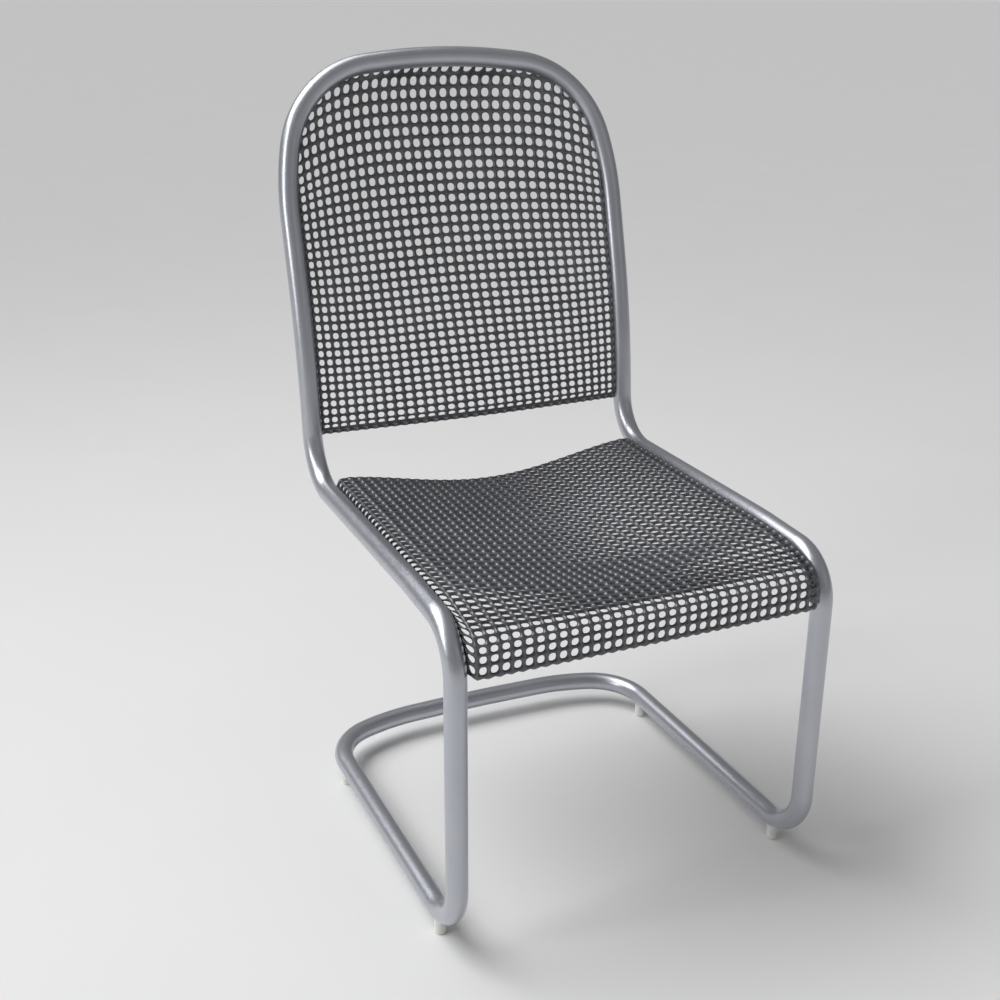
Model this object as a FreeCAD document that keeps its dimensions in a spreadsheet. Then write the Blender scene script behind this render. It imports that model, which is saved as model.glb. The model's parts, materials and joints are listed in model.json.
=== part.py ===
"""Wire mesh chair: a bent steel tube frame that carries a pressed mesh seat and a pressed mesh back.

Millimetres. +Z is up, the sitter faces -Y, +X is on the sitter's left.
The origin is on the floor, under the middle of the chair's bounding box.
"""
import FreeCAD
import Part
import Sketcher
import math
import os
from FreeCAD import Placement, Rotation, Vector

document = FreeCAD.newDocument("MeshChair")


# Driving dimensions

SIZES = [
    # frame tube
    ("tube_diameter", 25.0),
    ("tube_wall", 2.0),
    ("half_width", 228.0),
    # side route, as the corners that the tube would have with sharp bends (Y, Z)
    ("runner_end_y", 51.0),
    ("runner_height", 31.0),
    ("front_foot_y", -298.0),
    ("front_knee_y", -290.0),
    ("front_knee_z", 399.5),
    ("rail_crown_y", -165.0),
    ("rail_crown_z", 406.5),
    ("rear_knee_y", 172.0),
    ("rear_knee_z", 409.0),
    ("upright_kink_y", 192.0),
    ("upright_kink_z", 582.0),
    ("arch_root_y", 223.0),
    ("arch_root_z", 692.0),
    # side route, centre line radii of the bends
    ("foot_bend", 60.0),
    ("front_bend", 56.0),
    ("rail_bend", 600.0),
    ("rear_bend", 67.0),
    ("upright_bend", 1050.0),
    # top arch, corners in its own leaning plane (across, up from its root)
    ("arch_side_rise", 82.0),
    ("arch_corner_x", 199.0),
    ("arch_corner_rise", 216.0),
    ("arch_top_rise", 240.0),
    ("arch_side_bend", 370.0),
    ("arch_corner_bend", 129.0),
    ("arch_top_bend", 790.0),
    # rear floor tube, corners on the floor plane (across, back from the end of the runner)
    ("rear_side_reach", 85.0),
    ("rear_corner_x", 136.0),
    ("rear_corner_reach", 116.0),
    ("rear_middle_reach", 120.0),
    ("rear_side_bend", 76.0),
    ("rear_corner_bend", 270.0),
    ("rear_middle_bend", 1400.0),
    # spigots inside the tube joints
    ("spigot_length", 50.0),
    ("spigot_wall", 2.5),
    ("spigot_clearance", 0.1),
    # glides
    ("glide_diameter", 14.0),
    ("glide_edge", 1.0),
    ("glide_saddle", 4.0),
    ("glide_seating", 0.3),
    ("glide_stem_diameter", 6.0),
    ("glide_barb_diameter", 7.4),
    ("glide_barb_height", 4.0),
    ("glide_hole_clearance", 0.3),
    ("front_glide_y", -248.0),
    ("rear_glide_reach", 30.0),
    # mesh panels
    ("mesh_thickness", 3.0),
    ("mesh_clearance", 0.35),
    ("seat_crest_inset", 9.0),
    ("seat_rear_y", 123.0),
    ("seat_rear_crest_z", 421.0),
    ("seat_brow_y", -228.0),
    ("seat_brow_z", 415.0),
    ("seat_brow_bend", 150.0),
    ("seat_front_y", -305.5),
    ("seat_front_crest_z", 396.5),
    ("seat_front_roll", 25.0),
    ("seat_lip_z", 354.0),
    ("seat_dip", 28.0),
    ("seat_dip_front_share", 0.36),
    ("back_hem_z", 467.0),
    ("back_hem_height", 16.0),
    ("back_hem_curl", 7.0),
    ("back_dish", 39.0),
    ("back_flat_z", 508.0),
    ("back_deep_z", 753.0),
    ("back_crown", 0.45),
    # round openings of the panels, each in the place of a few of the real mesh's gaps
    ("opening_columns", 12.0),
    ("opening_rows", 12.0),
    ("opening_share", 0.84),
    ("opening_margin", 7.0),
]

sheet = document.addObject("Spreadsheet::Sheet", "Sizes")
for row, (alias, number) in enumerate(SIZES, start=1):
    sheet.set("A%d" % row, alias)
    sheet.set("B%d" % row, str(number))
    sheet.setAlias("B%d" % row, alias)
document.recompute()


def size(alias):
    """The number in the named cell, with a leading minus sign allowed."""
    if alias.startswith("-"):
        return -size(alias[1:])
    return float(sheet.get(alias))


def cell(alias):
    """The expression that reads the named cell, with a leading minus sign allowed."""
    if alias.startswith("-"):
        return "-Sizes." + alias[1:]
    return "Sizes." + alias


def origin_plane(body, role):
    return next(item for item in body.Origin.OriginFeatures if item.Role == role)


def new_body(label):
    body = document.addObject("PartDesign::Body", label)
    body.Label = label
    return body


def new_sketch(body, label, role):
    sketch = body.newObject("Sketcher::SketchObject", label)
    sketch.AttachmentSupport = [(origin_plane(body, role), "")]
    sketch.MapMode = "FlatFace"
    return sketch


# Tubes

def rounded_corner(before, corner, after, radius):
    """Entry, leave and centre of the arc that rounds a corner."""
    back = (before - corner).normalize()
    ahead = (after - corner).normalize()
    half_angle = back.getAngle(ahead) / 2
    reach = radius / math.tan(half_angle)
    centre = corner + (back + ahead).normalize() * (radius / math.sin(half_angle))
    return corner + back * reach, corner + ahead * reach, centre


def angle_about(centre, point):
    return math.atan2(point.y - centre.y, point.x - centre.x)


def draw_route(sketch, corners, bends):
    """Lines joined by tangent arcs, held by construction points at the sharp corners.

    corners holds pairs of cell names, None being zero; bends holds the cell name of each radius.
    """
    places = [Vector(size(across) if across else 0, size(up) if up else 0, 0) for across, up in corners]
    points = []
    for (across, up), place in zip(corners, places):
        point = sketch.addGeometry(Part.Point(place), True)
        for kind, name in (("DistanceX", across), ("DistanceY", up)):
            if name is None:
                axis = -2 if kind == "DistanceX" else -1
                sketch.addConstraint(Sketcher.Constraint("PointOnObject", point, 1, axis))
            else:
                number = sketch.addConstraint(Sketcher.Constraint(kind, -1, 1, point, 1, size(name)))
                sketch.setExpression("Constraints[%d]" % number, cell(name))
        points.append(point)
    start = places[0]
    lines = []
    arcs = []
    for before, corner, after, bend in zip(places, places[1:], places[2:], bends):
        entry, leave, centre = rounded_corner(before, corner, after, size(bend))
        lines.append((start, entry))
        arcs.append((entry, leave, centre))
        start = leave
    lines.append((start, places[-1]))
    line_numbers = [sketch.addGeometry(Part.LineSegment(a, b), False) for a, b in lines]
    for index, number in enumerate(line_numbers):
        if index == 0:
            sketch.addConstraint(Sketcher.Constraint("Coincident", number, 1, points[0], 1))
        else:
            sketch.addConstraint(Sketcher.Constraint("PointOnObject", points[index], 1, number))
        if index == len(line_numbers) - 1:
            sketch.addConstraint(Sketcher.Constraint("Coincident", number, 2, points[-1], 1))
        else:
            sketch.addConstraint(Sketcher.Constraint("PointOnObject", points[index + 1], 1, number))
    for index, (entry, leave, centre) in enumerate(arcs):
        turns_left = (entry - centre).cross(leave - centre).z > 0
        first, last = (entry, leave) if turns_left else (leave, entry)
        start_angle = angle_about(centre, first)
        end_angle = angle_about(centre, last)
        if end_angle < start_angle:
            end_angle += 2 * math.pi
        circle = Part.Circle(centre, Vector(0, 0, 1), size(bends[index]))
        number = sketch.addGeometry(Part.ArcOfCircle(circle, start_angle, end_angle), False)
        entry_end, leave_end = (1, 2) if turns_left else (2, 1)
        sketch.addConstraint(Sketcher.Constraint("Tangent", line_numbers[index], 2, number, entry_end))
        sketch.addConstraint(Sketcher.Constraint("Tangent", line_numbers[index + 1], 1, number, leave_end))
        held = sketch.addConstraint(Sketcher.Constraint("Radius", number, size(bends[index])))
        sketch.setExpression("Constraints[%d]" % held, cell(bends[index]))


def draw_ring(sketch, outer_expression, inner_expression, outer, inner):
    """Two circles about the sketch's origin."""
    for expression, radius in ((outer_expression, outer), (inner_expression, inner)):
        circle = sketch.addGeometry(Part.Circle(Vector(0, 0, 0), Vector(0, 0, 1), radius), False)
        sketch.addConstraint(Sketcher.Constraint("Coincident", circle, 3, -1, 1))
        held = sketch.addConstraint(Sketcher.Constraint("Radius", circle, radius))
        sketch.setExpression("Constraints[%d]" % held, expression)


def tube_along(body, route, profile_role, profile_offsets):
    """Sweeps the tube's ring along the route from the ring's own sketch plane."""
    ring = new_sketch(body, body.Label + "_ring", profile_role)
    for axis, name in profile_offsets:
        ring.setExpression("AttachmentOffset.Base." + axis, cell(name))
    outer = size("tube_diameter") / 2
    draw_ring(ring, "Sizes.tube_diameter / 2", "Sizes.tube_diameter / 2 - Sizes.tube_wall",
              outer, outer - size("tube_wall"))
    document.recompute()
    pipe = body.newObject("PartDesign::AdditivePipe", body.Label + "_pipe")
    pipe.Profile = ring
    pipe.Spine = (route, [])
    pipe.Mode = "Standard"
    body.Tip = pipe
    document.recompute()
    return pipe


def drill_glide_hole(body, places):
    """Cuts each glide's hole through the underside of the tube, from the tube's centre line down."""
    sketch = new_sketch(body, body.Label + "_glide_hole", "XY_Plane")
    radius = size("glide_stem_diameter") / 2 + size("glide_hole_clearance") / 2
    for x_name, y_name in places:
        circle = sketch.addGeometry(Part.Circle(Vector(size(x_name), size(y_name), 0), Vector(0, 0, 1), radius))
        for kind, name in (("DistanceX", x_name), ("DistanceY", y_name)):
            held = sketch.addConstraint(Sketcher.Constraint(kind, -1, 1, circle, 3, size(name)))
            sketch.setExpression("Constraints[%d]" % held, cell(name))
        held = sketch.addConstraint(Sketcher.Constraint("Radius", circle, radius))
        sketch.setExpression("Constraints[%d]" % held,
                             "(Sizes.glide_stem_diameter + Sizes.glide_hole_clearance) / 2")
    return sketch


def pocket_down(body, sketch):
    pocket = body.newObject("PartDesign::Pocket", body.Label + "_glide_pocket")
    pocket.Profile = sketch
    pocket.Type = 0
    pocket.setExpression("Length", "Sizes.tube_diameter")
    body.Tip = pocket
    document.recompute()
    return pocket


def side_tube(label, side):
    """One side: floor runner, front leg, seat rail and upright, bent from one tube."""
    body = new_body(label)
    across = "half_width" if side > 0 else "-half_width"
    route = new_sketch(body, label + "_route", "YZ_Plane")
    route.setExpression("AttachmentOffset.Base.z", cell(across))
    draw_route(route, SIDE_CORNERS, SIDE_BENDS)
    tube_along(body, route, "XZ_Plane", (("x", across), ("y", "runner_height"), ("z", "-runner_end_y")))
    holes = drill_glide_hole(body, ((across, "front_glide_y"),))
    holes.setExpression("AttachmentOffset.Base.z", cell("runner_height"))
    pocket_down(body, holes)
    return body, route


SIDE_CORNERS = (
    ("runner_end_y", "runner_height"),
    ("front_foot_y", "runner_height"),
    ("front_knee_y", "front_knee_z"),
    ("rail_crown_y", "rail_crown_z"),
    ("rear_knee_y", "rear_knee_z"),
    ("upright_kink_y", "upright_kink_z"),
    ("arch_root_y", "arch_root_z"),
)
SIDE_BENDS = ("foot_bend", "front_bend", "rail_bend", "rear_bend", "upright_bend")

left_tube, side_route = side_tube("side_tube_left", -1)
side_tube("side_tube_right", 1)


def mirrored_corners(half):
    """The corners of a route that starts at +X, crosses the middle and ends at -X."""
    return half + tuple(("-" + across, up) for across, up in reversed(half[:-1]))


def cross_tube(label, plane_role, profile_role, half_corners, half_bends):
    """A tube that joins the two side tubes, drawn about its own origin."""
    body = new_body(label)
    route = new_sketch(body, label + "_route", plane_role)
    draw_route(route, mirrored_corners(half_corners), half_bends + tuple(reversed(half_bends[:-1])))
    tube_along(body, route, profile_role, (("x", "half_width"),))
    return body, route


# Back arch: the top of the frame, in the plane of the uprights' leaning ends

LEAN = "atan2(Sizes.arch_root_y - Sizes.upright_kink_y; Sizes.arch_root_z - Sizes.upright_kink_z)"


def stand_on_joint(item, y_name, z_name, angle_expression):
    """Moves an item to a tube joint and leans it back about X."""
    item.Placement = Placement(Vector(0, 0, 0), Rotation(Vector(-1, 0, 0), 1))
    item.setExpression("Placement.Base.y", cell(y_name))
    item.setExpression("Placement.Base.z", cell(z_name))
    item.setExpression("Placement.Rotation.Angle", angle_expression)


arch, arch_route = cross_tube(
    "back_arch_tube", "XZ_Plane", "XY_Plane",
    (("half_width", None), ("half_width", "arch_side_rise"),
     ("arch_corner_x", "arch_corner_rise"), (None, "arch_top_rise")),
    ("arch_side_bend", "arch_corner_bend", "arch_top_bend"))
stand_on_joint(arch, "arch_root_y", "arch_root_z", LEAN)


# Rear floor tube: joins the ends of the two runners behind the chair

rear_tube, rear_route = cross_tube(
    "rear_floor_tube", "XY_Plane", "XZ_Plane",
    (("half_width", None), ("half_width", "rear_side_reach"),
     ("rear_corner_x", "rear_corner_reach"), (None, "rear_middle_reach")),
    ("rear_side_bend", "rear_corner_bend", "rear_middle_bend"))
rear_tube.setExpression("Placement.Base.y", cell("runner_end_y"))
rear_tube.setExpression("Placement.Base.z", cell("runner_height"))
rear_holes = drill_glide_hole(
    rear_tube, (("half_width", "rear_glide_reach"), ("-half_width", "rear_glide_reach")))
pocket_down(rear_tube, rear_holes)


# Spigots: short sleeves inside the four tube joints

def spigot(label, across, y_name, z_name, angle_expression):
    outer = document.addObject("Part::Cylinder", label + "_outer")
    outer_radius = "Sizes.tube_diameter / 2 - Sizes.tube_wall - Sizes.spigot_clearance"
    outer.setExpression("Radius", outer_radius)
    bore = document.addObject("Part::Cylinder", label + "_bore")
    bore.setExpression("Radius", outer_radius + " - Sizes.spigot_wall")
    for cylinder in (outer, bore):
        cylinder.setExpression("Height", "Sizes.spigot_length")
        cylinder.setExpression("Placement.Base.z", "-Sizes.spigot_length / 2")
    sleeve = document.addObject("Part::Cut", label)
    sleeve.Label = label
    sleeve.Base = outer
    sleeve.Tool = bore
    stand_on_joint(sleeve, y_name, z_name, angle_expression)
    sleeve.setExpression("Placement.Base.x", cell(across))
    return sleeve


SIDES = (("left", "-half_width"), ("right", "half_width"))
for side_name, across in SIDES:
    spigot("arch_spigot_" + side_name, across, "arch_root_y", "arch_root_z", LEAN)
    spigot("floor_spigot_" + side_name, across, "runner_end_y", "runner_height", "90")


# Glides: moulded feet that snap into the undersides of the floor tubes

foot_entry, _, foot_centre = rounded_corner(
    Vector(size("runner_end_y"), size("runner_height"), 0),
    Vector(size("front_foot_y"), size("runner_height"), 0),
    Vector(size("front_knee_y"), size("front_knee_z"), 0),
    size("foot_bend"))


def cut_saddle(label, block, glide_y, straight_from):
    """Takes the tube and its clearance out of a foot: the straight run, then the bend if it has begun."""
    radius = size("tube_diameter") / 2 + size("glide_seating")
    straight = document.addObject("Part::Cylinder", label + "_straight_space")
    straight.Radius = radius
    straight.Height = glide_y - straight_from + 2 * size("glide_diameter")
    straight.Placement = Placement(Vector(0, straight_from - glide_y, size("runner_height")),
                                   Rotation(Vector(-1, 0, 0), 90))
    saddle = document.addObject("Part::Cut", label + "_saddle")
    saddle.Base = block
    saddle.Tool = straight
    if glide_y - size("glide_diameter") > straight_from:
        return saddle
    bend = document.addObject("Part::Torus", label + "_bend_space")
    bend.setExpression("Radius1", "Sizes.foot_bend")
    bend.Radius2 = radius
    bend.Placement = Placement(Vector(0, foot_centre.x - glide_y, foot_centre.y), Rotation(Vector(0, 1, 0), 90))
    bent_saddle = document.addObject("Part::Cut", label + "_bent_saddle")
    bent_saddle.Base = saddle
    bent_saddle.Tool = bend
    return bent_saddle


def glide(label, across, glide_y, straight_from):
    """Foot with a saddle for the tube, a stem through the tube's hole and a barb that holds it."""
    edge = document.addObject("Part::Cone", label + "_edge")
    edge.setExpression("Radius1", "Sizes.glide_diameter / 2 - Sizes.glide_edge")
    edge.setExpression("Radius2", "Sizes.glide_diameter / 2")
    edge.setExpression("Height", "Sizes.glide_edge")
    foot = document.addObject("Part::Cylinder", label + "_foot")
    foot.setExpression("Radius", "Sizes.glide_diameter / 2")
    foot.setExpression("Height", "Sizes.runner_height - Sizes.tube_diameter / 2 + Sizes.glide_saddle"
                                 " - Sizes.glide_edge")
    foot.setExpression("Placement.Base.z", "Sizes.glide_edge")
    block = document.addObject("Part::Fuse", label + "_block")
    block.Base = edge
    block.Tool = foot
    bore_radius = size("tube_diameter") / 2 - size("tube_wall")
    barb_radius = size("glide_barb_diameter") / 2
    bore_sag = math.sqrt(bore_radius ** 2 - barb_radius ** 2)
    into_bend = max(0.0, straight_from - glide_y + barb_radius)
    bend_radius = size("foot_bend") + bore_radius
    bore_rise = bend_radius - math.sqrt(bend_radius ** 2 - into_bend ** 2)
    stem = document.addObject("Part::Cylinder", label + "_stem")
    stem.setExpression("Radius", "Sizes.glide_stem_diameter / 2")
    stem.Height = size("runner_height") - bore_sag + bore_rise + size("glide_seating")
    barb = document.addObject("Part::Cone", label + "_barb")
    barb.setExpression("Radius1", "Sizes.glide_barb_diameter / 2")
    barb.setExpression("Radius2", "Sizes.glide_stem_diameter / 2 - Sizes.glide_edge")
    barb.setExpression("Height", "Sizes.glide_barb_height")
    barb.Placement = Placement(Vector(0, 0, stem.Height.Value), Rotation())
    peg = document.addObject("Part::Fuse", label + "_peg")
    peg.Base = stem
    peg.Tool = barb
    whole = document.addObject("Part::Fuse", label)
    whole.Label = label
    whole.Base = cut_saddle(label, block, glide_y, straight_from)
    whole.Tool = peg
    whole.setExpression("Placement.Base.x", cell(across))
    whole.Placement.Base.y = glide_y
    return whole


rear_glide_y = size("runner_end_y") + size("rear_glide_reach")
for side_name, across in SIDES:
    glide("glide_front_" + side_name, across, size("front_glide_y"), foot_entry.x)
    glide("glide_rear_" + side_name, across, rear_glide_y, rear_glide_y - 2 * size("glide_diameter"))

document.recompute()


# Mesh panels: pressed from one layer of mesh each, drawn here as closed curved sheets

def between(low, high, share):
    return low + (high - low) * share


def cross_at(points, axis, level, other):
    """Where a run of points passes a level on one axis, the value on the other axis."""
    for before, after in zip(points, points[1:]):
        low, high = getattr(before, axis), getattr(after, axis)
        if low != high and min(low, high) <= level <= max(low, high):
            return between(getattr(before, other), getattr(after, other), (level - low) / (high - low))
    raise ValueError("the route does not pass %s = %.1f" % (axis, level))


def rounded_profile(corners, radii, count):
    """Evenly spaced points, in the YZ plane, along lines joined by tangent arcs."""
    edges = []
    start = corners[0]
    for before, corner, after, radius in zip(corners, corners[1:], corners[2:], radii):
        entry, leave, centre = rounded_corner(before, corner, after, radius)
        middle = centre + (corner - centre).normalize() * radius
        edges.append(Part.LineSegment(start, entry).toShape())
        edges.append(Part.Arc(entry, middle, leave).toShape())
        start = leave
    edges.append(Part.LineSegment(start, corners[-1]).toShape())
    return Part.Wire(edges).discretize(Number=count)


def surface_normals(grid):
    """The unit vectors that the rows crossed with the columns point along, at each point of a grid."""
    last_row = len(grid) - 1
    last_column = len(grid[0]) - 1
    normals = []
    for i, row in enumerate(grid):
        line = []
        for j in range(last_column + 1):
            along = grid[min(i + 1, last_row)][j] - grid[max(i - 1, 0)][j]
            across = row[min(j + 1, last_column)] - row[max(j - 1, 0)]
            line.append(along.cross(across).normalize())
        normals.append(line)
    return normals


def sheet_solid(grid, directions, thickness):
    """A closed sheet: a smooth face through the grid, its twin one thickness away, and four edges."""
    twin = [[point + direction * thickness for point, direction in zip(*rows)] for rows in zip(grid, directions)]
    faces = []
    borders = []
    for points in (grid, twin):
        surface = Part.BSplineSurface()
        surface.interpolate(points)
        faces.append(surface.toShape())
        u_first, u_last, v_first, v_last = surface.bounds()
        borders.append([surface.uIso(u_first), surface.uIso(u_last),
                        surface.vIso(v_first), surface.vIso(v_last)])
    for front, back in zip(*borders):
        faces.append(Part.makeRuledSurface(front.toShape(), back.toShape()))
    shell = Part.makeShell(faces)
    shell.sewShape()
    solid = Part.makeSolid(shell)
    if solid.Volume < 0:
        solid.reverse()
    return solid


def mesh_panel(label, grid, directions, thickness, openings):
    """The sheet through a grid, with round openings given as pairs of a centre and the way through."""
    panel = document.addObject("Part::Feature", label)
    panel.Label = label
    drills = [Part.makeCylinder(opening_radius, 2 * OPENING_REACH, centre - way * OPENING_REACH, way)
              for centre, way in openings]
    panel.Shape = sheet_solid(grid, directions, thickness).cut(drills)
    panel.Placement = Placement()
    return panel


SIDE_ROUTE_POINTS = 1200
ARCH_ROUTE_POINTS = 400
OPENING_REACH = 20.0

tube_reach = size("tube_diameter") / 2 + size("mesh_clearance")
panel_half_width = size("half_width") - tube_reach
side_points = [Vector(0, p.y, p.z) for p in side_route.Shape.discretize(Number=SIDE_ROUTE_POINTS)]
opening_pitch = 2 * (panel_half_width - size("seat_crest_inset")) / size("opening_columns")
opening_radius = opening_pitch * size("opening_share") / 2


def middle_shares(count):
    """The middles of a number of even parts of the way from 0 to 1."""
    return [(index + 0.5) / count for index in range(int(count))]


def grid_place(grid, row_share, column_share):
    """The point of a grid at a share of its rows and columns, between its four nearest points."""
    row = row_share * (len(grid) - 1)
    column = column_share * (len(grid[0]) - 1)
    i, j = int(row), int(column)
    low = between(grid[i][j], grid[i][j + 1], column - j)
    high = between(grid[i + 1][j], grid[i + 1][j + 1], column - j)
    return between(low, high, row - i)


# Seat panel

SEAT_ROWS = 25
SEAT_COLUMNS = 61
SEAT_FLANGE_STEPS = 12
SEAT_DISH_STEPS = 24
DIP_EASE = 1.4
HOLLOW_EASE = 0.75


def seat_edge_line():
    """Points beside the tube's centre line from the seat's rear edge to its front lip."""
    run = [p for p in reversed(side_points) if p.y <= size("seat_rear_y") and p.z >= size("seat_lip_z")]
    return Part.makePolygon(run).discretize(Number=SEAT_ROWS)


def seat_crest_line():
    """Points along the highest line of the seat's side, over the front roll to the lip."""
    corners = [Vector(0, size("seat_rear_y"), size("seat_rear_crest_z")),
               Vector(0, size("seat_brow_y"), size("seat_brow_z")),
               Vector(0, size("seat_front_y"), size("seat_front_crest_z")),
               Vector(0, size("seat_front_y"), size("seat_lip_z"))]
    return rounded_profile(corners, [size("seat_brow_bend"), size("seat_front_roll")], SEAT_ROWS)


def seat_dip_at(y):
    """Depth of the seat's middle below its crest: none at the front, full after a share of the length."""
    share = (y - size("seat_front_y")) / (size("seat_rear_y") - size("seat_front_y"))
    rise = max(0.0, min(share / size("seat_dip_front_share"), 1.0))
    return size("seat_dip") * math.sin(math.pi / 2 * rise) ** DIP_EASE


def seat_half_row(edge, crest):
    """From the flange's edge beside the tube, over the crest, to the middle of the dish, for +X."""
    crest_half_width = panel_half_width - size("seat_crest_inset")
    flange = []
    for step in range(SEAT_FLANGE_STEPS):
        turn = math.pi / 2 * step / SEAT_FLANGE_STEPS
        x = crest_half_width + size("seat_crest_inset") * math.cos(turn)
        point = between(edge, crest, math.sin(turn))
        flange.append(Vector(x, point.y, point.z))
    dish = []
    for step in range(SEAT_DISH_STEPS + 1):
        x = crest_half_width * (1 - step / SEAT_DISH_STEPS)
        hollow = (1 + math.cos(math.pi * x / crest_half_width)) / 2
        dish.append(Vector(x, crest.y, crest.z - seat_dip_at(crest.y) * hollow ** HOLLOW_EASE))
    return flange + dish


def seat_grid():
    grid = []
    for edge, crest in zip(seat_edge_line(), seat_crest_line()):
        half = seat_half_row(edge, crest)
        other = [Vector(-p.x, p.y, p.z) for p in half]
        whole = other[:-1] + list(reversed(half))
        grid.append(Part.makePolygon(whole).discretize(Number=SEAT_COLUMNS))
    return grid


def seat_openings(grid, normals):
    """Openings between the side crests, square to the sheet, from the rear edge over the roll to the lip."""
    width = Part.makePolygon(grid[0]).Length
    flange = (width - opening_pitch * size("opening_columns")) / 2 / width
    length = Part.makePolygon([row[len(row) // 2] for row in grid]).Length
    margin = size("opening_margin") / length
    places = []
    for row_share in middle_shares(size("opening_rows")):
        for column_share in middle_shares(size("opening_columns")):
            place = (between(margin, 1 - margin, row_share), between(flange, 1 - flange, column_share))
            places.append((grid_place(grid, *place), grid_place(normals, *place).normalize()))
    return places


seat_points = seat_grid()
seat_normals = surface_normals(seat_points)
mesh_panel("seat_mesh", seat_points, seat_normals, -size("mesh_thickness"),
           seat_openings(seat_points, seat_normals))


# Back panel

BACK_LOW_ROWS = 12
BACK_ARCH_ROWS = 20
BACK_COLUMNS = 14
ARCH_TOP_SHARE = 0.2
TOP_EASE = 6
CURL_EASE = 8


def arch_inner_line():
    """Half width and rise of the arch's inner outline, from its root to near its top."""
    points = [Vector(p.x, p.z, 0) for p in arch_route.Shape.discretize(Number=ARCH_ROUTE_POINTS) if p.x > 0]
    if points[0].y > points[-1].y:
        points.reverse()
    inner = []
    for before, after in zip(points, points[1:]):
        heading = (after - before).normalize()
        middle = (before + after) / 2
        inner.append(middle + Vector(-heading.y, heading.x, 0) * tube_reach)
    return [p for p in inner if p.x > ARCH_TOP_SHARE * size("half_width")]


def back_depth(z, rise_share, across_share):
    """How far the pressed back lies behind the tubes' plane."""
    climb = (z - size("back_flat_z")) / (size("back_deep_z") - size("back_flat_z"))
    depth = size("back_dish") * math.sin(math.pi / 2 * max(-1.0, min(climb, 1.0)))
    crown = size("back_crown")
    side = (math.hypot(across_share, crown) - crown) / (math.hypot(1, crown) - crown)
    return depth * (1 - side) * math.sqrt(max(0.0, 1 - rise_share ** TOP_EASE))


lean = math.atan2(size("arch_root_y") - size("upright_kink_y"),
                  size("arch_root_z") - size("upright_kink_z"))


def back_grid():
    upright = [p for p in side_points if p.y > size("rear_knee_y") - size("rear_bend")]
    lines = []
    for index in range(BACK_LOW_ROWS):
        z = between(size("back_hem_z"), size("arch_root_z"), index / BACK_LOW_ROWS)
        hem = max(0.0, 1 - (z - size("back_hem_z")) / size("back_hem_height"))
        y = cross_at(upright, "z", z, "y")
        lines.append((y, z, panel_half_width, 0.0, size("back_hem_curl") * hem ** 2))
    inner = Part.makePolygon(arch_inner_line()).discretize(Number=BACK_ARCH_ROWS)
    top = size("arch_top_rise") - tube_reach
    for point in inner:
        y = size("arch_root_y") + point.y * math.sin(lean)
        z = size("arch_root_z") + point.y * math.cos(lean)
        lines.append((y, z, point.x, point.y / top, 0.0))
    grid = []
    for y, z, half, rise_share, curl in lines:
        row = []
        for column in range(BACK_COLUMNS + 1):
            share = math.sin(math.pi / 2 * between(-1, 1, column / BACK_COLUMNS))
            behind = back_depth(z, rise_share, abs(share)) + curl * (1 - share ** CURL_EASE)
            row.append(Vector(half * share, y + behind, z))
        grid.append(row)
    return grid


def back_openings(grid, behind):
    """Openings in even rows from the hem to the arch, where they clear the arch by the margin."""
    outline = [(row[-1].x, row[-1].z) for row in grid]
    lowest = size("back_hem_z") + size("back_hem_height")
    highest = grid[-1][0].z - size("opening_margin")
    places = []
    for row_share in middle_shares(size("opening_rows")):
        z = between(lowest, highest, row_share)
        level = [Vector(cross_at(column, "z", z, "x"), cross_at(column, "z", z, "y"), z) for column in zip(*grid)]
        for column_share in middle_shares(size("opening_columns")):
            x = between(-1, 1, column_share) * opening_pitch * size("opening_columns") / 2
            clearance = min(math.hypot(abs(x) - edge_x, z - edge_z) for edge_x, edge_z in outline)
            if abs(x) < level[-1].x and clearance > opening_radius + size("opening_margin"):
                places.append((Vector(x, cross_at(level, "x", x, "y"), z), behind))
    return places


back_points = back_grid()
behind_arch = Vector(0, math.cos(lean), -math.sin(lean))
back_directions = [[behind_arch] * len(row) for row in back_points]
mesh_panel("back_mesh", back_points, back_directions, size("mesh_thickness"),
           back_openings(back_points, behind_arch))

document.recompute()


# Export

NODES = ("side_tube_left", "side_tube_right", "back_arch_tube", "rear_floor_tube",
         "arch_spigot_left", "arch_spigot_right", "floor_spigot_left", "floor_spigot_right",
         "seat_mesh", "back_mesh",
         "glide_front_left", "glide_front_right", "glide_rear_left", "glide_rear_right")

os.makedirs("parts", exist_ok=True)
for item in document.Objects:
    if "Invalid" in item.State or "Error" in item.State:
        raise RuntimeError("%s is %s" % (item.Label, item.State))
for label in NODES:
    item = document.getObjectsByLabel(label)[0]
    shape = item.Shape
    if shape.isNull() or not shape.isValid() or shape.Volume <= 0:
        raise RuntimeError("%s has no valid solid" % label)
    shape.exportStep("parts/%s.step" % label)
    print("%s: %.0f mm3, %d solid" % (label, shape.Volume, len(shape.Solids)))
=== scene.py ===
"""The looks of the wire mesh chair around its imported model.

It adds the two pressed mesh panels, the materials, the floor, the lights and the camera. Shapes are
worked out in millimetres and scaled to metres when a mesh is made.
"""
import json
import math

import bpy
import numpy as np
from mathutils import Matrix, Vector


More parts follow.
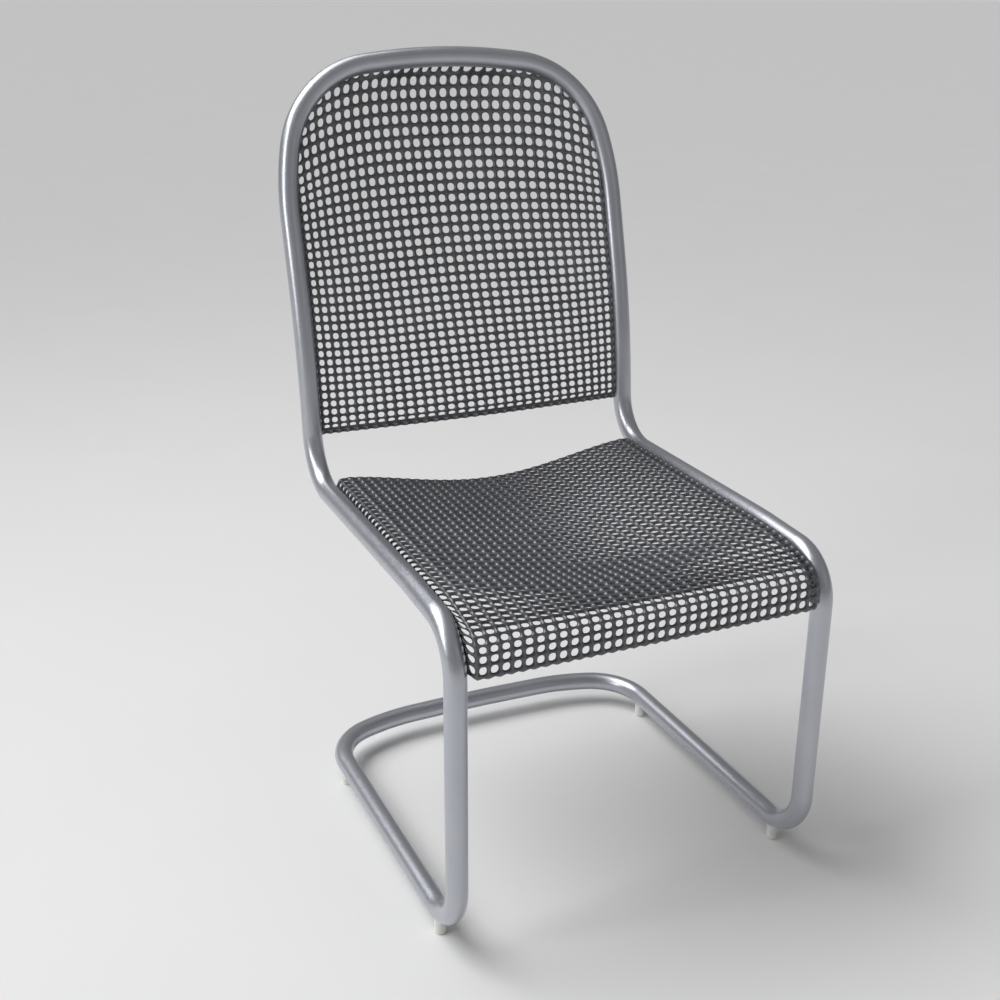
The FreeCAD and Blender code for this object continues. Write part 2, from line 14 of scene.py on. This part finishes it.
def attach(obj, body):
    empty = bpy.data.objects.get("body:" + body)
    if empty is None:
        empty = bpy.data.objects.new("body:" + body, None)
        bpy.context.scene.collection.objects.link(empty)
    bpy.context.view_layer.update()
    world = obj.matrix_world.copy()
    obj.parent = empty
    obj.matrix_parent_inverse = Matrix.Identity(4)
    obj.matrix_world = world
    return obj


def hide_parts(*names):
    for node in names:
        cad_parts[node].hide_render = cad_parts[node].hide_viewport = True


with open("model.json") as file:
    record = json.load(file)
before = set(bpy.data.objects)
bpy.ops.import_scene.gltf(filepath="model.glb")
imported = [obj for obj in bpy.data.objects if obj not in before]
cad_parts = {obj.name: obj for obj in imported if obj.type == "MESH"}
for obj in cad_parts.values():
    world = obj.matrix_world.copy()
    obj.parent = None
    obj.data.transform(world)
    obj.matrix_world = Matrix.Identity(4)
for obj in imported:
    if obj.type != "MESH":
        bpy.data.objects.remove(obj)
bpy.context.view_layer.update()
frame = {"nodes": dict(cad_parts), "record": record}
MM = 0.001


# Sizes of the frame that the panels meet, as in the part's source

TUBE_RADIUS = 12.5
TUBE_CLEARANCE = 0.35
HALF_WIDTH = 228.0
SIDE_CORNERS = [(51, 31), (-298, 31), (-290, 399.5), (-165, 406.5), (172, 409), (192, 582), (223, 692)]
SIDE_BENDS = [60, 56, 600, 67, 1050]
ARCH_CORNERS = [(228, 0), (228, 82), (199, 216), (0, 240), (-199, 216), (-228, 82), (-228, 0)]
ARCH_BENDS = [370, 129, 790, 129, 370]
ARCH_TOP_RISE = 240
UPRIGHT_KINK, ARCH_ROOT = SIDE_CORNERS[-2:]
LEAN = math.atan2(ARCH_ROOT[0] - UPRIGHT_KINK[0], ARCH_ROOT[1] - UPRIGHT_KINK[1])
PANEL_HALF = HALF_WIDTH - TUBE_RADIUS - TUBE_CLEARANCE
SHEET_HALF = 1.5


def rounded_line(corners, bends, step=1.5):
    """Points along a line whose inner corners are rounded by arcs."""
    points = [np.array(corners[0], float)]
    for before, corner, after, radius in zip(corners, corners[1:], corners[2:], bends):
        before, corner, after = (np.array(p, float) for p in (before, corner, after))
        back = (before - corner) / np.linalg.norm(before - corner)
        ahead = (after - corner) / np.linalg.norm(after - corner)
        half = math.acos(max(-1.0, min(1.0, float(back @ ahead)))) / 2
        bisector = (back + ahead) / np.linalg.norm(back + ahead)
        centre = corner + bisector * radius / math.sin(half)
        start = corner + back * radius / math.tan(half) - centre
        turn = math.pi - 2 * half
        side = 1.0 if start[0] * -back[1] + start[1] * back[0] > 0 else -1.0
        count = int(radius * turn / step) + 1
        for k in range(count + 1):
            a = side * turn * k / count
            points.append(centre + np.array([start[0] * math.cos(a) - start[1] * math.sin(a),
                                             start[0] * math.sin(a) + start[1] * math.cos(a)]))
    points.append(np.array(corners[-1], float))
    return np.array(points)


def lengths_along(points):
    return np.concatenate([[0.0], np.cumsum(np.linalg.norm(np.diff(points, axis=0), axis=1))])


def at_shares(points, shares):
    """The points at the given shares of a line's length."""
    lengths = lengths_along(points)
    wanted = np.asarray(shares) * lengths[-1]
    return np.stack([np.interp(wanted, lengths, points[:, k]) for k in range(points.shape[1])], axis=-1)


def unit_normals(grid):
    """The directions square to a sheet at each point of its grid."""
    normals = np.cross(np.gradient(grid, axis=1), np.gradient(grid, axis=0))
    return normals / np.linalg.norm(normals, axis=2, keepdims=True)


side_line = rounded_line(SIDE_CORNERS, SIDE_BENDS)
arch_line = rounded_line(ARCH_CORNERS, ARCH_BENDS)


# Pressed mesh: a sheet of round gaps between rounded strands

# The eight points around a cell, then for each side the way to its neighbour and its three points
RING = [(0, 0), (.5, 0), (1, 0), (1, .5), (1, 1), (.5, 1), (0, 1), (0, .5)]
SIDES_OF_CELL = (((-1, 0), (0, 1, 2)), ((0, 1), (2, 3, 4)), ((1, 0), (4, 5, 6)), ((0, -1), (6, 7, 0)))
# How far a strand, its crossings and the free edge stand out, before the modifier rounds them
STRAND_HALF = 1.8
CROSSING_BEAD = 3.2
FREE_EDGE = 0.6
# How square a gap is, where its strands begin to turn into it, and how thick they are there
DIAGONAL_STRETCH = 1.03
SHOULDER_DIAGONAL, SHOULDER_STRAIGHT = .36, .30
SHOULDER_LIFT = .74


def quadratic(t):
    """Weights of three evenly spaced points for the place at share t between the outer two."""
    return np.array([2 * (t - .5) * (t - 1), 4 * t * (1 - t), 2 * t * (t - .5)])


def mesh_sheet(name, nodes, keep, gap, tooth):
    """A sheet over nodes, an array of points at half cell steps, with one gap in each kept cell.

    gap holds the half width and half height of a gap in cells. tooth is how far a strand's end stands
    out of the free edge before the modifier rounds it.
    """
    rows, cols = (nodes.shape[0] - 1) // 2, (nodes.shape[1] - 1) // 2
    normals = unit_normals(nodes)
    points, faces, index = [], [], {}

    def is_crossing(i, j):
        return i % 2 == 0 and j % 2 == 0

    def corner_id(i, j, side):
        key = (i, j, side)
        if key not in index:
            lift = STRAND_HALF + (CROSSING_BEAD if is_crossing(i, j) else 0.0)
            index[key] = len(points)
            points.append(nodes[i, j] + normals[i, j] * lift * side)
        return index[key]

    ring_weights = []
    for u, v in RING:
        dx, dy = u - .5, v - .5
        length = math.hypot(dx, dy)
        diagonal = abs(dx) == abs(dy)
        stretch = DIAGONAL_STRETCH if diagonal else 1
        hole = (.5 + dx / length * gap[0] * stretch, .5 + dy / length * gap[1] * stretch)
        share = SHOULDER_DIAGONAL if diagonal else SHOULDER_STRAIGHT
        shoulder = (hole[0] + (u - hole[0]) * share, hole[1] + (v - hole[1]) * share)
        ring_weights.append([np.outer(quadratic(p[1]), quadratic(p[0])) for p in (shoulder, hole)])
    outward, free_sides = {}, []
    for r in range(rows):
        for c in range(cols):
            if not keep[r, c]:
                continue
            i, j = 2 * r, 2 * c
            patch, patch_n = nodes[i:i + 3, j:j + 3], normals[i:i + 3, j:j + 3]
            front = [corner_id(i + int(2 * v), j + int(2 * u), 1) for u, v in RING]
            back = [corner_id(i + int(2 * v), j + int(2 * u), -1) for u, v in RING]
            rings = [[], [], []]
            for shoulder_w, hole_w in ring_weights:
                p = np.tensordot(shoulder_w, patch, 2)
                n = np.tensordot(shoulder_w, patch_n, 2)
                q = np.tensordot(hole_w, patch, 2)
                for ring, point in zip(rings, (p + n * STRAND_HALF * SHOULDER_LIFT, q,
                                               p - n * STRAND_HALF * SHOULDER_LIFT)):
                    ring.append(len(points))
                    points.append(point)
            layers = [front] + rings + [back]
            for k in range(8):
                m = (k + 1) % 8
                for upper, lower in zip(layers, layers[1:]):
                    faces.append((upper[k], upper[m], lower[m], lower[k]))
            for (dr, dc), sides in SIDES_OF_CELL:
                rr, cc = r + dr, c + dc
                if 0 <= rr < rows and 0 <= cc < cols and keep[rr, cc]:
                    continue
                ends = [(i + int(2 * RING[s][1]), j + int(2 * RING[s][0])) for s in sides]
                out = nodes[ends[1]] - nodes[i + 1, j + 1]
                out /= np.linalg.norm(out)
                for e in ends:
                    outward.setdefault(e, []).append(out)
                free_sides.append(ends)
    rim_id = {}
    for e, outs in outward.items():
        out = sum(outs) / np.linalg.norm(sum(outs))
        rim_id[e] = len(points)
        points.append(nodes[e] + out * (tooth if is_crossing(*e) else FREE_EDGE))
    for ends in free_sides:
        for e, f in zip(ends, ends[1:]):
            faces.append((corner_id(*f, 1), corner_id(*e, 1), rim_id[e], rim_id[f]))
            faces.append((rim_id[f], rim_id[e], corner_id(*e, -1), corner_id(*f, -1)))
    mesh = bpy.data.meshes.new(name)
    mesh.from_pydata([tuple(p * MM) for p in points], [], faces)
    mesh.polygons.foreach_set("use_smooth", [True] * len(mesh.polygons))
    mesh.update()
    piece = bpy.data.objects.new(name, mesh)
    bpy.context.scene.collection.objects.link(piece)
    smooth = piece.modifiers.new("round", "SUBSURF")
    smooth.levels = smooth.render_levels = 1
    return piece


# Back panel

# The number of a row of gaps, its height in the middle, and how much lower it lies beside the uprights
BACK_ROWS = [(-4, 887, 30), (-1, 841, 19), (2, 796, 16), (5, 753, 8), (8, 713, 3), (11, 675, 0),
             (14, 640, -3), (17, 606, -4), (20, 573, -4), (23, 542, -3), (26, 511, -2), (29, 483, 0)]
BACK_TOP_ROW, BACK_LAST_ROW, BACK_LAST_COLUMN = -6.5, 32.5, 17
DROOP_PER_ROW_ABOVE = 3.5
DROOP_AT, DROOP_WIDEST, DROOP_EASE = 197, 215, 4
HEM_FROM_ROW, HEM_PITCH, HEM_RADIUS, HEM_FALL = 29.3, 7.6, 15.0, .3
UPRIGHT_FROM_Y, UPRIGHT_FROM_Z = 105, 440
DISH, DISH_FLAT_Z, DISH_DEEP_Z = 39, 508, 753
CROWN, TOP_EASE = 0.45, 6
COLUMN_PITCH, COLUMN_SQUEEZE, COLUMN_SQUEEZED_AT, COLUMN_EASE = 14.37, 11.4, 14.5, 4
BEYOND_ARCH = 9
BACK_GAP, BACK_TOOTH = (.345, .365), 9.0


def back_plane(z):
    """How far back the tubes' centre plane lies at a height."""
    upright = side_line[side_line[:, 0] > UPRIGHT_FROM_Y]
    upright = upright[upright[:, 1] > UPRIGHT_FROM_Z]
    if z < ARCH_ROOT[1]:
        return float(np.interp(z, upright[:, 1], upright[:, 0]))
    return ARCH_ROOT[0] + (z - ARCH_ROOT[1]) * math.tan(LEAN)


arch_half = arch_line[arch_line[:, 0] >= 0]
arch_tangent = np.gradient(arch_half, axis=0)
arch_tangent /= np.linalg.norm(arch_tangent, axis=1, keepdims=True)
arch_inward = np.stack([-arch_tangent[:, 1], arch_tangent[:, 0]], axis=1)
arch_inner = arch_half + arch_inward * (TUBE_RADIUS + TUBE_CLEARANCE)
ARCH_TOP = ARCH_TOP_RISE - TUBE_RADIUS - TUBE_CLEARANCE


def outline_at(rise):
    """Half width of the arch's inner outline at a rise above its root."""
    order = np.argsort(arch_inner[:, 1])
    return float(np.interp(rise, arch_inner[order, 1], np.maximum(arch_inner[order, 0], 0)))


def back_point(x, z):
    """The place on the dished back at a width and a height."""
    climb = max(-1.0, min((z - DISH_FLAT_Z) / (DISH_DEEP_Z - DISH_FLAT_Z), 1.0))
    depth = DISH * math.sin(math.pi / 2 * climb)
    if z < ARCH_ROOT[1]:
        share, rise_share = abs(x) / PANEL_HALF, 0.0
    else:
        rise = (z - ARCH_ROOT[1]) / math.cos(LEAN)
        rise_share = rise / ARCH_TOP
        share = abs(x) / max(outline_at(min(rise, ARCH_TOP - .5)), 1.0)
    share = min(share, 1.0)
    side = (math.hypot(share, CROWN) - CROWN) / (math.hypot(1, CROWN) - CROWN)
    shift = depth * (1 - side) * math.sqrt(max(0.0, 1 - min(rise_share, 1.0) ** TOP_EASE))
    return np.array([x, back_plane(z) + shift, z])


def back_column(t):
    """How far from the middle a column lies: evenly spaced, and closer near the uprights."""
    return COLUMN_PITCH * t - COLUMN_SQUEEZE * math.copysign(abs(t / COLUMN_SQUEEZED_AT) ** COLUMN_EASE, t)


def back_nodes():
    """The back's points at half steps of its rows and columns, the last rows rolled into the hem."""
    numbers, heights, droops = (np.array(c, float) for c in zip(*BACK_ROWS))
    curve = np.polyfit(numbers, heights, 4)
    rows = np.arange(BACK_TOP_ROW, BACK_LAST_ROW + .01, .5)
    columns = np.arange(-BACK_LAST_COLUMN, BACK_LAST_COLUMN + .01, .5)
    grid = np.zeros((len(rows), len(columns), 3))
    hem_z = np.polyval(curve, HEM_FROM_ROW)
    for i, number in enumerate(rows):
        if number > numbers[0]:
            droop = float(np.interp(number, numbers, droops))
        else:
            droop = droops[0] + (numbers[0] - number) * DROOP_PER_ROW_ABOVE
        turn = (number - HEM_FROM_ROW) * HEM_PITCH / HEM_RADIUS
        for k, t in enumerate(columns):
            x = back_column(t)
            if number <= HEM_FROM_ROW:
                z = np.polyval(curve, number) - droop * (min(abs(x), DROOP_WIDEST) / DROOP_AT) ** DROOP_EASE
                grid[i, k] = back_point(x, z)
            else:
                behind = HEM_RADIUS * (1 - math.cos(turn)) - HEM_FALL * HEM_RADIUS * math.sin(turn)
                grid[i, k] = back_point(x, hem_z)
                grid[i, k] += (0, behind, -HEM_RADIUS * math.sin(turn))
    return grid


def cells_within_arch(nodes):
    """True for each cell whose middle lies inside the arch or only a little past its inner outline."""
    centres = nodes[1::2, 1::2]
    keep = np.ones(centres.shape[:2], bool)
    for r in range(keep.shape[0]):
        for c in range(keep.shape[1]):
            x, _, z = centres[r, c]
            rise = (z - ARCH_ROOT[1]) / math.cos(LEAN)
            gap_to_arch = np.min(np.hypot(arch_inner[:, 0] - abs(x), arch_inner[:, 1] - rise))
            beyond = rise > 0 and (rise > ARCH_TOP or abs(x) > outline_at(rise))
            keep[r, c] = not (beyond and gap_to_arch > BEYOND_ARCH)
    return keep


back_grid = back_nodes()
back = mesh_sheet("back_strands", back_grid, cells_within_arch(back_grid), BACK_GAP, BACK_TOOTH)
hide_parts("back_mesh")


# Seat panel

SEAT_REAR_Y, SEAT_FRONT_Y, SEAT_LIP_Z = 126.0, -305.5, 354.0
SEAT_COLUMN_PITCH, SEAT_COLUMNS = 13.1, 32
SEAT_ROW_PITCHES = [12.5, 10.6, 9.9, 9.5, 9.5, 9.5, 9.8, 10.3, 11.0, 11.6, 12.0, 12.1, 12.3] + [12.45] * 25
SEAT_CREST = [(SEAT_REAR_Y, 421), (-228, 415), (SEAT_FRONT_Y, 396.5), (SEAT_FRONT_Y, SEAT_LIP_Z)]
SEAT_CREST_BENDS = [150, 25]
CREST_INSET = 9.0
CREST_HALF = PANEL_HALF - CREST_INSET
SEAT_DIP, DIP_FULL_AT, DIP_EASE, HOLLOW_EASE = 28, .36, 1.4, .75
DISH_STEPS, FLANGE_STEPS = 48, 24
SEAT_GAP, SEAT_TOOTH = (.335, .375), 10.0
RAIL_BELOW_Z = 429
rail = side_line[::-1]
rail = rail[(rail[:, 0] <= SEAT_REAR_Y) & (rail[:, 1] < RAIL_BELOW_Z) & (rail[:, 1] > SEAT_LIP_Z)]
crest_line = rounded_line(SEAT_CREST, SEAT_CREST_BENDS)


def seat_row(edge, crest):
    """Points across the seat at half steps of its columns, then down each flange beside the tube."""
    share = (crest[0] - SEAT_FRONT_Y) / (SEAT_REAR_Y - SEAT_FRONT_Y) / DIP_FULL_AT
    dip = SEAT_DIP * math.sin(math.pi / 2 * max(0.0, min(share, 1.0))) ** DIP_EASE
    half = []
    for step in range(DISH_STEPS + 1):
        x = CREST_HALF * step / DISH_STEPS
        hollow = (1 + math.cos(math.pi * x / CREST_HALF)) / 2
        half.append((x, crest[0], crest[1] - dip * hollow ** HOLLOW_EASE))
    for step in range(1, FLANGE_STEPS + 1):
        turn = math.pi / 2 * (1 - step / FLANGE_STEPS)
        half.append((CREST_HALF + CREST_INSET * math.cos(turn),
                     edge[0] + (crest[0] - edge[0]) * math.sin(turn),
                     edge[1] + (crest[1] - edge[1]) * math.sin(turn)))
    half = np.array(half)
    xs = np.arange(SEAT_COLUMNS + 1) * SEAT_COLUMN_PITCH / 2
    top = np.stack([xs] + [np.interp(xs, half[:, 0], half[:, k]) for k in (1, 2)], axis=1)
    flange_line = np.concatenate([top[-1:], half[half[:, 0] > xs[-1]]])
    flange = at_shares(flange_line, [0.5, 1.0])
    side = np.concatenate([top, flange])
    return np.concatenate([side[:0:-1] * (-1, 1, 1), side])


def seat_nodes():
    """The seat's points at half steps of its rows and columns, on the middle of the strands."""
    first = SEAT_ROW_PITCHES[0] / 2
    centres = np.concatenate([[first], first + np.cumsum(SEAT_ROW_PITCHES)])
    rear_edge = centres[-1] + SEAT_ROW_PITCHES[-1] / 2
    borders = np.concatenate([[0], (centres[:-1] + centres[1:]) / 2, [rear_edge]])
    from_lip = np.sort(np.concatenate([centres, borders]))
    shares = 1 - from_lip[::-1] / from_lip[-1]
    edges, crests = at_shares(rail, shares), at_shares(crest_line, shares)
    grid = np.array([seat_row(e, c) for e, c in zip(edges, crests)])
    return grid + unit_normals(grid) * SHEET_HALF


seat_grid = seat_nodes()
every_cell = np.ones(((seat_grid.shape[0] - 1) // 2, (seat_grid.shape[1] - 1) // 2), bool)
seat = mesh_sheet("seat_strands", seat_grid, every_cell, SEAT_GAP, SEAT_TOOTH)
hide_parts("seat_mesh")


# Materials

def new_material(name):
    """A material, its node tree, its shader and the object coordinates that its patterns use."""
    material = bpy.data.materials.new(name)
    material.use_nodes = True
    tree = material.node_tree
    shader = tree.nodes["Principled BSDF"]
    coords = tree.nodes.new("ShaderNodeTexCoord")
    return material, tree, shader, coords


def noise(tree, coords, scale, detail=2.0, roughness=.5):
    node = tree.nodes.new("ShaderNodeTexNoise")
    node.inputs["Scale"].default_value = scale
    node.inputs["Detail"].default_value = detail
    node.inputs["Roughness"].default_value = roughness
    tree.links.new(coords.outputs["Object"], node.inputs["Vector"])
    return node.outputs["Fac"]


NOISE_LOW, NOISE_HIGH = .3, .7


def ramp(tree, value, low, high):
    """A colour between low and high, by a noise."""
    node = tree.nodes.new("ShaderNodeValToRGB")
    node.color_ramp.elements[0].position, node.color_ramp.elements[1].position = NOISE_LOW, NOISE_HIGH
    node.color_ramp.elements[0].color, node.color_ramp.elements[1].color = (*low, 1), (*high, 1)
    tree.links.new(value, node.inputs["Fac"])
    return node.outputs["Color"]


def spread(tree, value, low, high):
    """A number between low and high, by a noise."""
    node = tree.nodes.new("ShaderNodeMapRange")
    node.inputs["From Min"].default_value, node.inputs["From Max"].default_value = NOISE_LOW, NOISE_HIGH
    node.inputs["To Min"].default_value, node.inputs["To Max"].default_value = low, high
    tree.links.new(value, node.inputs["Value"])
    return node.outputs["Result"]


def bump(tree, value, distance):
    node = tree.nodes.new("ShaderNodeBump")
    node.inputs["Distance"].default_value = distance
    node.inputs["Strength"].default_value = 1.0
    tree.links.new(value, node.inputs["Height"])
    return node.outputs["Normal"]


def coated(name, low, high, metal, rough, peel_scale, peel_depth):
    """A satin coat with a fine orange peel, and a slight drift of colour and gloss."""
    material, tree, shader, coords = new_material(name)
    drift = noise(tree, coords, scale=14, detail=3)
    tree.links.new(ramp(tree, drift, low, high), shader.inputs["Base Color"])
    grain = noise(tree, coords, scale=260, detail=2)
    tree.links.new(spread(tree, grain, rough - .04, rough + .05), shader.inputs["Roughness"])
    peel = noise(tree, coords, scale=peel_scale, detail=3, roughness=.6)
    tree.links.new(bump(tree, peel, peel_depth), shader.inputs["Normal"])
    shader.inputs["Metallic"].default_value = metal
    shader.inputs["Coat Weight"].default_value = .25
    shader.inputs["Coat Roughness"].default_value = .3
    return material


def brushed_steel():
    material, tree, shader, coords = new_material("bare_steel")
    grain = noise(tree, coords, scale=900, detail=4, roughness=.7)
    tree.links.new(ramp(tree, grain, (.46, .46, .47), (.62, .62, .63)), shader.inputs["Base Color"])
    tree.links.new(spread(tree, grain, low=.28, high=.45), shader.inputs["Roughness"])
    shader.inputs["Metallic"].default_value = 1.0
    return material


def glide_plastic():
    material, tree, shader, coords = new_material("glide_plastic")
    drift = noise(tree, coords, scale=120, detail=3)
    tree.links.new(ramp(tree, drift, (.70, .70, .66), (.80, .80, .77)), shader.inputs["Base Color"])
    fine = noise(tree, coords, scale=1500, detail=2)
    tree.links.new(spread(tree, fine, low=.38, high=.52), shader.inputs["Roughness"])
    tree.links.new(bump(tree, fine, distance=.00006), shader.inputs["Normal"])
    shader.inputs["Subsurface Weight"].default_value = .35
    shader.inputs["Subsurface Radius"].default_value = (.006, .006, .005)
    shader.inputs["Subsurface Scale"].default_value = .6
    return material


tube_coat = coated("tube_coat", (.47, .485, .53), (.51, .525, .57),
                   metal=.85, rough=.33, peel_scale=420, peel_depth=.000006)
mesh_coat = coated("mesh_coat", (.095, .097, .108), (.130, .132, .146),
                   metal=.45, rough=.36, peel_scale=700, peel_depth=.00002)
steel = brushed_steel()
plastic = glide_plastic()


def dress(piece, material):
    piece.data.materials.clear()
    piece.data.materials.append(material)


SLOT_MATERIALS = {"frame_tube": tube_coat, "joint_spigot": steel,
                  "wire_mesh": mesh_coat, "glide": plastic}
for row in frame["record"]["subparts"]:
    if row["node"] in frame["nodes"]:
        dress(frame["nodes"][row["node"]], SLOT_MATERIALS[row["material_slot"]])
for piece in (back, seat):
    dress(piece, mesh_coat)
    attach(piece, "root")


# Floor, light and camera, in metres

FLOOR_REACH = 90.0
FLOOR_COLOUR = (.76, .76, .76)
FLOOR_COLOUR_DRIFT = .985


def plain(name, colour):
    material, tree, shader, coords = new_material(name)
    drift = noise(tree, coords, scale=3, detail=2)
    darker = tuple(c * FLOOR_COLOUR_DRIFT for c in colour)
    tree.links.new(ramp(tree, drift, colour, darker), shader.inputs["Base Color"])
    shader.inputs["Roughness"].default_value = .9
    return material


def studio_floor():
    mesh = bpy.data.meshes.new("floor")
    corners = [(-1, -1), (1, -1), (1, 1), (-1, 1)]
    mesh.from_pydata([(x * FLOOR_REACH, y * FLOOR_REACH, 0) for x, y in corners], [], [(0, 1, 2, 3)])
    floor = bpy.data.objects.new("floor", mesh)
    bpy.context.scene.collection.objects.link(floor)
    mesh.materials.append(plain("floor_pale", FLOOR_COLOUR))


def area_light(name, place, target, width, height, power):
    """A rectangular light at a place, turned towards a target."""
    data = bpy.data.lights.new(name, "AREA")
    data.shape = "RECTANGLE"
    data.size, data.size_y, data.energy = width, height, power
    light = bpy.data.objects.new(name, data)
    bpy.context.scene.collection.objects.link(light)
    light.location = place
    light.rotation_euler = (Vector(target) - Vector(place)).to_track_quat("-Z", "Y").to_euler()


def soft_sun(towards, strength, spread_angle):
    """A broad light from far away, which also keeps the floor even."""
    data = bpy.data.lights.new("key", "SUN")
    data.energy, data.angle = strength, math.radians(spread_angle)
    light = bpy.data.objects.new("key", data)
    bpy.context.scene.collection.objects.link(light)
    light.rotation_euler = Vector(towards).to_track_quat("Z", "Y").to_euler()


def studio_world(light_level, background):
    """Even light from all around, with another level for the backdrop that the camera sees."""
    world = bpy.data.worlds.new("studio")
    bpy.context.scene.world = world
    world.use_nodes = True
    tree = world.node_tree
    shade = tree.nodes["Background"]
    shade.inputs["Color"].default_value = (1, 1, 1, 1)
    path = tree.nodes.new("ShaderNodeLightPath")
    seen = tree.nodes.new("ShaderNodeMath")
    seen.operation = "MAXIMUM"
    tree.links.new(path.outputs["Is Camera Ray"], seen.inputs[0])
    tree.links.new(path.outputs["Is Transmission Ray"], seen.inputs[1])
    level = tree.nodes.new("ShaderNodeMapRange")
    level.inputs["To Min"].default_value, level.inputs["To Max"].default_value = light_level, background
    tree.links.new(seen.outputs[0], level.inputs["Value"])
    tree.links.new(level.outputs["Result"], shade.inputs["Strength"])


# The camera fitted to the photograph's tube edges
YAW, PITCH, ROLL = -23.7957, -22.1818, .3449
FOCAL_PIXELS, PICTURE_PIXELS, SENSOR_WIDTH = 1309.65, 1000, 36
CAMERA_SHIFT = (.0282, .0197)
CAMERA_PLACE = (-.68568, -1.36835, 1.00214)
CAMERA_FAR = 300


def camera_like_photo():
    """The view fitted to the photograph: forward, right and up from its yaw, pitch and roll."""
    yaw, pitch, roll = (math.radians(a) for a in (YAW, PITCH, ROLL))
    ahead = Vector((-math.sin(yaw) * math.cos(pitch), math.cos(yaw) * math.cos(pitch), math.sin(pitch)))
    right = Vector((math.cos(yaw), math.sin(yaw), 0))
    up = right.cross(ahead)
    right, up = (right * math.cos(roll) + up * math.sin(roll), up * math.cos(roll) - right * math.sin(roll))
    data = bpy.data.cameras.new("camera")
    data.sensor_width, data.lens = SENSOR_WIDTH, FOCAL_PIXELS * SENSOR_WIDTH / PICTURE_PIXELS
    data.shift_x, data.shift_y = CAMERA_SHIFT
    data.clip_end = CAMERA_FAR
    camera = bpy.data.objects.new("camera", data)
    bpy.context.scene.collection.objects.link(camera)
    camera.matrix_world = Matrix((right, up, -ahead)).transposed().to_4x4()
    camera.location = CAMERA_PLACE
    bpy.context.scene.camera = camera


studio_floor()
studio_world(light_level=.24, background=.56)
soft_sun((-.62, .42, 1.0), strength=1.9, spread_angle=38)
area_light("overhead", (-.5, .8, 2.4), (0, 0, .4), width=1.8, height=1.2, power=12)
area_light("left_panel", (-2.3, -.3, 1.7), (0, 0, .6), width=.6, height=1.8, power=19)
area_light("front_fill", (1.6, -2.6, 1.8), (0, 0, .5), width=2.0, height=1.6, power=1.5)
camera_like_photo()
bpy.context.scene.view_settings.view_transform = "Standard"
